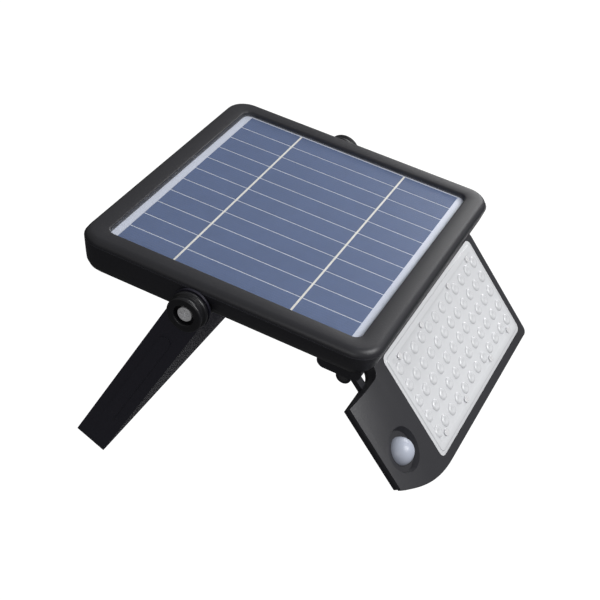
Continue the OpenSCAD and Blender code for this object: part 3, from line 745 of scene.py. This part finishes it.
@dataclass
class SoftEdged:
    """A CAD node's own shape, merged into whole faces, with small rounded edges."""

    node: str
    dressing: Dressing
    edge: float = 0.3
    segments: int = 2
    over_angle: float = 38.0
    weld: float = 2e-6
    flat_angle: float = 0.7

    def shape(self, bm: bmesh.types.BMesh) -> None:
        """Changes the merged mesh before its edges are rounded; most pieces need nothing."""

    def build(self, palette: Palette) -> bpy.types.Object:
        """Copies the node, merges its loose triangles and rounds its edges.

        Args:
            palette: The materials.

        Returns:
            The finished piece.
        """
        bm = bmesh.new()
        bm.from_mesh(frame["nodes"][self.node].data)
        bmesh.ops.remove_doubles(bm, verts=bm.verts, dist=self.weld)
        flat = math.radians(self.flat_angle)
        bmesh.ops.dissolve_limit(bm, angle_limit=flat, verts=bm.verts, edges=bm.edges)
        bmesh.ops.recalc_face_normals(bm, faces=bm.faces)
        self.shape(bm)
        obj = finish_mesh(self.node + "_look", bm, self.over_angle)
        if self.edge > 0:
            bevel = obj.modifiers.new("soft_edges", "BEVEL")
            bevel.width = self.edge * MM
            bevel.segments = self.segments
            bevel.limit_method = "ANGLE"
            bevel.angle_limit = math.radians(self.over_angle)
            bevel.harden_normals = True
        return self.dressing.apply(obj, palette, self.node)


# ---------- Sub-assemblies ----------


@dataclass
class Housing:
    """The solar housing: cover, lower shell, panel and what is inside."""

    length: float = 197.0
    width: float = 205.0
    corner: float = 16.0
    ledge: float = 0.8
    cover_height: float = 4.5
    border_x: float = 15.0
    border_y: float = 13.5
    recess: float = 2.5
    window_corner: float = 5.0
    fillet: float = 0.9
    fit: float = 0.2
    wall_foot: float = -1.6
    underside: float = -2.0
    under_rim: float = 3.0
    under_inset: float = 4.0
    shoulder_steps: int = 8
    lip_steps: int = 3

    def cover(self, places: Places, palette: Palette) -> bpy.types.Object:
        """Builds the frame-shaped cover: rounded outside, a soft inner edge and the window's wall.

        Args:
            places: The reference places.
            palette: The materials.

        Returns:
            The cover.
        """
        top, low = self.recess, self.recess - self.cover_height
        outline = Section(self.length, self.width, self.corner, low)
        window = Section(
            self.length - 2 * (self.border_x - self.fit),
            self.width - 2 * (self.border_y - self.fit),
            self.window_corner,
            top,
        )
        sections = []
        for angle in quarter(self.shoulder_steps):
            inset = self.ledge + self.cover_height * (1.0 - math.cos(angle))
            sections.append(outline.grown(-inset, low + self.cover_height * math.sin(angle)))
        for angle in quarter(self.lip_steps):
            grow = self.fillet * (1.0 - math.sin(angle))
            sections.append(window.grown(grow, top - self.fillet * (1.0 - math.cos(angle))))
        sections.append(window.grown(0.0, self.wall_foot))
        sections.append(window.grown(self.under_rim, self.underside))
        sections.append(outline.grown(-self.under_inset, self.underside))
        shape = Shape()
        shape.loft(sections, segments=10, closed=True)
        obj = shape.make("cover_frame", places.housing(), sharp=40.0)
        return Dressing("housing", "black_plastic").apply(obj, palette)

    def build(self, places: Places, palette: Palette) -> None:
        """Builds and dresses every piece of the housing.

        Args:
            places: The reference places.
            palette: The materials.
        """
        cover = self.cover(places, palette)
        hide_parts("top_cover")
        pieces = (
            # The lower shell is black plastic but takes the darker copy: painted shade on its
            # sides.
            SoftEdged("bottom_shell", Dressing("housing", "black_plastic", "black_plastic_painted_shade"),
                      edge=0.35),
            SoftEdged("cell_ribbons", Dressing("housing", "ribbon_silver"), edge=0.04),
            SoftEdged("cell_strips", Dressing("housing", "cell_blue"), edge=0.05),
            SoftEdged("panel_backsheet", Dressing("housing", "white_sheet"), edge=0.2),
            SoftEdged("battery_cells", Dressing("housing", "cell_wrap"), edge=0.6, segments=3),
            SoftEdged("button_ring", Dressing("housing", "black_gloss"), edge=0.25),
            SoftEdged("power_button", Dressing("button", "washer_rubber"), edge=0.6, segments=3),
        )
        for piece in pieces:
            piece.build(palette)
        for node, slot in {
            "shell_seal": "seal_rubber",
            "panel_tape": "seal_rubber",
            "panel_front_sheet": "clear_sheet",
            "pivot_inserts": "brass",
            "battery_holder": "black_plastic",
            "control_board": "board_green",
            "board_chips": "chip_black",
            "power_switch": "black_gloss",
            "board_screws": "dark_screw",
            "shell_screws": "dark_screw",
            "hinge_pins": "dark_screw",
        }.items():
            paint(node, slot, palette)


def paint(node: str, slot: str, palette: Palette) -> None:
    """Gives a CAD node whose shape is right its material.

    Args:
        node: The node's name.
        slot: The material's name.
        palette: The materials.
    """
    data = frame["nodes"][node].data
    data.materials.clear()
    data.materials.append(palette[slot])
    LOG.info("painted %s", node)


class Side(IntEnum):
    """The two ends of the tilt axis, by the sign of y."""

    NEAR = -1
    FAR = 1


@dataclass
class Knob:
    """A turned knob with a flange, a groove and a nose that hides the screw's head."""

    length: float = 8.6
    flange_radius: float = 12.25
    flange_depth: float = 3.4
    groove_radius: float = 10.3
    nose_radius: float = 11.6
    recess_radius: float = 6.75
    recess: float = 4.4
    bore: float = 3.0
    edge: float = 1.1
    edge_steps: int = 4
    turn_steps: int = 64
    back_curve: Curve = ((0.0, -1.1), (0.35, -0.35), (1.0, 0.0))
    groove_curve: Curve = ((0.35, 0.3), (0.7, 0.0), (1.2, 0.35))
    mouth_curve: Curve = ((0.0, 0.5), (-0.15, 0.12), (-0.5, 0.0))

    def profile(self) -> list[tuple[float, float]]:
        """Lists the profile, from the bore at the arm's side round to the recess's floor.

        Returns:
            Pairs of place along the axis and radius, in millimetres.
        """
        floor = self.length - self.recess
        points = [(0.0, self.bore)]
        points += self.curve(0.0, self.flange_radius, self.back_curve)
        points += self.round_over(self.flange_depth, self.flange_radius)
        points += self.curve(self.flange_depth, self.groove_radius, self.groove_curve)
        points += self.round_over(self.length, self.nose_radius)
        points += self.curve(self.length, self.recess_radius, self.mouth_curve)
        points += [(floor, self.recess_radius), (floor, self.bore), (0.0, self.bore)]
        return points

    @staticmethod
    def curve(along: float, radius: float, steps: Curve) -> list[tuple[float, float]]:
        """Lists a small curve beside a corner.

        Args:
            along: The corner's place along the axis.
            radius: The corner's radius.
            steps: Pairs of distances from the corner, along the axis and outwards.

        Returns:
            The profile's points.
        """
        return [(along + forward, radius + outward) for forward, outward in steps]

    def round_over(self, end: float, radius: float) -> list[tuple[float, float]]:
        """Lists a quarter round at the end of a cylinder.

        Args:
            end: The cylinder's end along the axis.
            radius: The cylinder's radius.

        Returns:
            The profile's points.
        """
        return [
            (end - self.edge * (1.0 - math.sin(a)), radius - self.edge * (1.0 - math.cos(a)))
            for a in quarter(self.edge_steps)
        ]


@dataclass
class Mounting:
    """The wall bracket, the washers, the pivot screws and the knobs."""

    knob: Knob = field(default_factory=Knob)

    def build(self, places: Places, palette: Palette) -> None:
        """Builds and dresses the bracket and both pivots.

        Args:
            places: The reference places.
            palette: The materials.
        """
        for piece in (
            SoftEdged("wall_bracket", Dressing("bracket", "black_paint"), edge=0.35, segments=3),
            SoftEdged("arm_washers", Dressing("bracket", "washer_rubber"), edge=0.15),
            # The pivot screws' near-white base colour is painted reflection of their chrome.
            SoftEdged("pivot_screws", Dressing("housing", "bright_screw"), edge=0.35, segments=3,
                      over_angle=50.0),
        ):
            piece.build(palette)
        high = Vector(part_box("pivot_knobs")[1])
        shape = Shape()
        for side in Side:
            knob = Shape()
            knob.turn(self.knob.profile(), self.knob.turn_steps)
            start = (high.y / MM - self.knob.length) * side
            turn = Matrix.Rotation(math.pi / 2 * side, 4, "Z")
            shape.append(knob, Matrix.Translation((0.0, start, 0.0)) @ turn)
        axis = Matrix.Translation((places.pivot.x, 0.0, places.pivot.z))
        obj = shape.make("pivot_knobs_look", axis, sharp=60.0)
        Dressing("housing", "black_gloss").apply(obj, palette, "pivot_knobs")


@dataclass
class LensPlate:
    """The clear plate with its stepped rim and a small ring-shaped lens over each LED."""

    columns: int = 12
    rows: int = 5
    pitch: float = 12.04
    lens_radius: float = 4.1
    width: float = 151.24
    height: float = 76.16
    corner: float = 4.5
    centre_y: float = 19.88
    centre_z: float = -47.18
    seat: float = 6.9
    front: float = 9.1
    step: float = 0.7
    step_width: float = 2.6
    dish_width: float = 3.6
    dish_depth: float = 0.35
    dish_slope: float = 1.0
    corner_share: float = 0.6
    least_corner: float = 2.0
    lens_steps: int = 24
    lens_curve: Curve = (
        (-0.6, 0.0), (-0.6, 1.0), (0.05, 1.0), (0.4, 0.94), (0.85, 0.8),
        (1.05, 0.6), (0.95, 0.42), (0.72, 0.26), (0.62, 0.0),
    )
    rim_curve: Curve = ((0.0, -0.3), (0.1, -0.08), (0.35, 0.0))
    foot_curve: Curve = ((-0.5, 0.0), (-0.15, 0.12))
    shoulder_curve: Curve = ((0.0, -0.35), (0.15, -0.1), (0.5, 0.0))
    dish_curve: Curve = ((0.0, 0.0), (0.5, -0.1))

    def lens(self) -> Shape:
        """Turns one lens: a low dome with a hollow crown, closed underneath.

        Returns:
            The lens, with its axis along x. Its curve pairs a height with a share of its radius.
        """
        shape = Shape()
        profile = [(height, share * self.lens_radius) for height, share in self.lens_curve]
        shape.turn(profile, self.lens_steps)
        return shape

    def plate(self) -> Shape:
        """Lofts the plate: seat, rim, step, a soft shoulder and the slightly sunk field.

        Each curve pairs distances from its own corner, inwards and forwards.

        Returns:
            The plate, with its front towards z.
        """
        rim = self.front - self.step
        dish = self.step_width + self.dish_width
        levels = [(0.0, self.seat)]
        for inset, level, curve in (
            (0.0, rim, self.rim_curve),
            (self.step_width, rim, self.foot_curve),
            (self.step_width, self.front, self.shoulder_curve),
            (dish, self.front, self.dish_curve),
        ):
            levels += [(inset + inward, level + forward) for inward, forward in curve]
        levels.append((dish + self.dish_slope, self.front - self.dish_depth))
        sections = [
            Section(
                self.height - 2 * inset,
                self.width - 2 * inset,
                max(self.corner - self.corner_share * inset, self.least_corner),
                level,
            )
            for inset, level in levels
        ]
        shape = Shape()
        shape.loft(sections, segments=8)
        return shape

    def build(self, places: Places, palette: Palette) -> None:
        """Builds the plate with its lenses.

        Args:
            places: The reference places.
            palette: The materials.
        """
        centre = Matrix.Translation((0.0, self.centre_y, self.centre_z))
        shape = Shape()
        shape.append(self.plate(), centre @ Matrix.Rotation(math.pi / 2, 4, "Y"))
        lens = self.lens()
        for column in range(self.columns):
            for row in range(self.rows):
                y = self.centre_y + (column - (self.columns - 1) / 2) * self.pitch
                z = self.centre_z + (row - (self.rows - 1) / 2) * self.pitch
                shape.append(lens, Matrix.Translation((self.front - self.dish_depth, y, z)))
        obj = shape.make("lens_plate_look", places.head(), sharp=50.0)
        Dressing("head", "lens_clear").apply(obj, palette, "lens_plate")


@dataclass
class SensorDome:
    """The milky dome of the motion sensor, a turned shell that fills its hole in the dish."""

    radius: float = 8.7
    wall: float = 0.8
    foot: float = 1.6
    flange: float = 10.7
    flange_depth: float = 1.0
    arc_steps: int = 12
    turn_steps: int = 56
    centre: tuple[float, float, float] = (5.0, -83.0, -57.83)

    def profile(self) -> list[tuple[float, float]]:
        """Lists the shell's closed profile: the foot, the outer dome and the inner dome.

        Returns:
            Pairs of place along the axis and radius, in millimetres.
        """
        inner = self.radius - self.wall
        back = -self.foot - self.flange_depth
        arc = quarter(self.arc_steps)
        points = [(back, inner), (back, self.flange), (-self.foot, self.flange)]
        points += [(-self.foot, self.radius)]
        points += [(self.radius * math.sin(a), self.radius * math.cos(a)) for a in arc]
        points += [(inner * math.sin(a), inner * math.cos(a)) for a in reversed(arc)]
        return points + [(back, inner)]

    def build(self, places: Places, palette: Palette) -> None:
        """Builds the dome.

        Args:
            places: The reference places.
            palette: The materials.
        """
        turned = Shape()
        turned.turn(self.profile(), self.turn_steps)
        whole = Shape()
        whole.append(turned, Matrix.Translation(self.centre))
        obj = whole.make("sensor_dome_look", places.head(), sharp=40.0)
        Dressing("head", "dome_white").apply(obj, palette, "sensor_dome")


@dataclass
class HeadFrame(SoftEdged):
    """The head's front frame, with the front edge of its outline rounded once more."""

    round_over: float = 2.2
    steps: int = 5
    half: float = 101.0
    top: float = -6.4
    low: float = -91.26
    notch: float = 65.3
    notch_low: float = -14.0
    front: float = 4.0
    margin: float = 0.5
    least_turn: float = 30.0
    facing: float = 0.75

    def on_outline(self, place: Vector) -> bool:
        """Says whether a place lies on the front of the outline.

        Args:
            place: The place in the head's own millimetres.

        Returns:
            True at the outline's sides and ends, and at the notches of the hinge.
        """
        inside = self.low + self.margin < place.z < self.top - self.margin
        outer = abs(place.y) > self.half - self.margin or not inside
        notch = abs(place.y) > self.notch and place.z > self.notch_low
        return place.x > self.front and (outer or notch)

    def shape(self, bm: bmesh.types.BMesh) -> None:
        """Rounds the outline's front edge, as far as the short edges beside it allow.

        Args:
            bm: The merged mesh, in the frame.
        """
        turn = Places().head()
        front = turn.to_3x3() @ Vector((1.0, 0.0, 0.0))
        inverse = turn.inverted()
        spots = {vert: (inverse @ vert.co) / MM for vert in bm.verts}
        chosen = [
            edge for edge in bm.edges
            if all(self.on_outline(spots[vert]) for vert in edge.verts)
            and edge.calc_face_angle_signed(0.0) > math.radians(self.least_turn)
            and any(face.normal.dot(front) > self.facing for face in edge.link_faces)
        ]
        bmesh.ops.bevel(bm, geom=chosen, offset=self.round_over * MM, offset_type="OFFSET",
                        segments=self.steps, profile=0.5, affect="EDGES", clamp_overlap=True,
                        material=-1)


@dataclass
class Head:
    """The LED head: frame, back shell, lens plate, sensor and screws."""

    lenses: LensPlate = field(default_factory=LensPlate)
    dome: SensorDome = field(default_factory=SensorDome)

    def build(self, places: Places, palette: Palette) -> None:
        """Builds and dresses every piece of the head.

        Args:
            places: The reference places.
            palette: The materials.
        """
        for piece in (
            HeadFrame("head_frame", Dressing("head", "black_plastic"), edge=0.3, over_angle=30.0),
            # The head's back is black plastic but takes the darker copy: painted shade.
            SoftEdged("head_back", Dressing("head", "black_plastic", "black_plastic_painted_shade"), edge=0.4),
            # The lens screws' near-white base colour is painted reflection of their chrome.
            SoftEdged("lens_screws", Dressing("head", "bright_screw"), edge=0.25, segments=3,
                      over_angle=50.0),
        ):
            piece.build(palette)
        self.lenses.build(places, palette)
        self.dome.build(places, palette)
        for node, slot in {
            "head_seal": "seal_rubber",
            "led_board": "board_white",
            "led_chips": "led_yellow",
            "sensor_board": "board_green",
            "sensor_can": "can_metal",
            "head_screws": "dark_screw",
        }.items():
            paint(node, slot, palette)


# ---------- Camera, floor and light ----------


@dataclass(frozen=True)
class Lamp:
    """A soft square light that points at the panel; metres from the panel's centre, and watts."""

    name: str
    offset: tuple[float, float, float]
    size: float
    power: float

    def build(self, aim: Vector) -> None:
        """Adds the light.

        Args:
            aim: The panel's centre.
        """
        data = bpy.data.lights.new(self.name, "AREA")
        data.size = self.size
        data.energy = self.power
        obj = bpy.data.objects.new(self.name, data)
        bpy.context.scene.collection.objects.link(obj)
        spot = aim + Vector(self.offset)
        turn = (aim - spot).to_track_quat("-Z", "Y").to_matrix().to_4x4()
        obj.matrix_world = Matrix.Translation(spot) @ turn


@dataclass
class Studio:
    """A white studio: the camera, a pale floor and soft lights."""

    camera_from_panel: tuple[float, float, float] = (0.233998, -0.62538, 0.459478)
    right: tuple[float, float, float] = (0.88792, 0.43614, 0.14621)
    down: tuple[float, float, float] = (0.37818, -0.51118, -0.77180)
    forward: tuple[float, float, float] = (-0.26187, 0.74059, -0.61883)
    lens: float = 76.74
    sensor: float = 36.0
    floor_half: float = 6.0
    floor_drop: float = 0.32
    floor_tone: float = 0.12
    floor_roughness: float = 0.9
    world_strength: float = 0.22
    lamps: tuple[Lamp, ...] = (
        Lamp("key", (0.95, 0.1, 0.95), 0.8, 14.0),
        Lamp("back", (0.1, 1.35, 0.6), 0.7, 5.5),
        Lamp("fill", (0.1, -1.25, 0.35), 0.6, 1.6),
    )

    def camera(self, places: Places) -> None:
        """Sets up the camera.

        Args:
            places: The reference places.
        """
        data = bpy.data.cameras.new("camera")
        data.sensor_width = self.sensor
        data.lens = self.lens
        obj = bpy.data.objects.new("camera", data)
        bpy.context.scene.collection.objects.link(obj)
        spot = places.panel + Vector(self.camera_from_panel)
        columns = (Vector(self.right), -Vector(self.down), -Vector(self.forward), spot)
        matrix = Matrix.Identity(4)
        for index, column in enumerate(columns):
            for row in range(3):
                matrix[row][index] = column[row]
        obj.matrix_world = matrix
        bpy.context.scene.camera = obj

    def floor(self) -> None:
        """Lays a wide floor under the light: white to the camera, dim to the light, clear below."""
        shape = bmesh.new()
        bmesh.ops.create_grid(shape, x_segments=1, y_segments=1, size=self.floor_half)
        height = REST_BOUNDS[0][2] - self.floor_drop
        bmesh.ops.translate(shape, vec=(0.0, 0.0, height), verts=shape.verts)
        obj = finish_mesh("floor", shape, 30.0)
        material = bpy.data.materials.new("floor_white")
        material.use_nodes = True
        tree = material.node_tree
        shader = tree.nodes["Principled BSDF"]
        tone = self.floor_tone
        shader.inputs["Base Color"].default_value = (tone, tone, tone, 1.0)
        shader.inputs["Roughness"].default_value = self.floor_roughness
        shader.inputs["Specular IOR Level"].default_value = 0.0
        seen = add_node(tree, "ShaderNodeLightPath").outputs["Is Camera Ray"]
        shader.inputs["Emission Color"].default_value = WHITE
        tree.links.new(seen, shader.inputs["Emission Strength"])
        under = add_node(tree, "ShaderNodeNewGeometry").outputs["Backfacing"]
        tree.links.new(math_node(tree, "SUBTRACT", 1.0, under), shader.inputs["Alpha"])
        obj.data.materials.append(material)

    def build(self, places: Places) -> None:
        """Builds the whole studio.

        Args:
            places: The reference places.
        """
        self.camera(places)
        self.floor()
        world = bpy.data.worlds.new("studio")
        world.use_nodes = True
        background = world.node_tree.nodes["Background"]
        background.inputs["Color"].default_value = WHITE
        seen = add_node(world.node_tree, "ShaderNodeLightPath").outputs["Is Camera Ray"]
        strength = math_node(world.node_tree, "MAXIMUM", seen, self.world_strength)
        world.node_tree.links.new(strength, background.inputs["Strength"])
        bpy.context.scene.world = world
        bpy.context.scene.view_settings.view_transform = "Standard"
        for lamp in self.lamps:
            lamp.build(places.panel)


def main() -> None:
    """Builds the light and the studio around it."""
    logging.basicConfig(level=logging.INFO, format="%(message)s")
    places = Places()
    palette = Palette(Groups())
    for part in (Housing(), Mounting(), Head()):
        part.build(places, palette)
        LOG.info("built %s", type(part).__name__)
    Studio().build(places)
    LOG.info("built Studio")


if __name__ == "__main__":
    main()
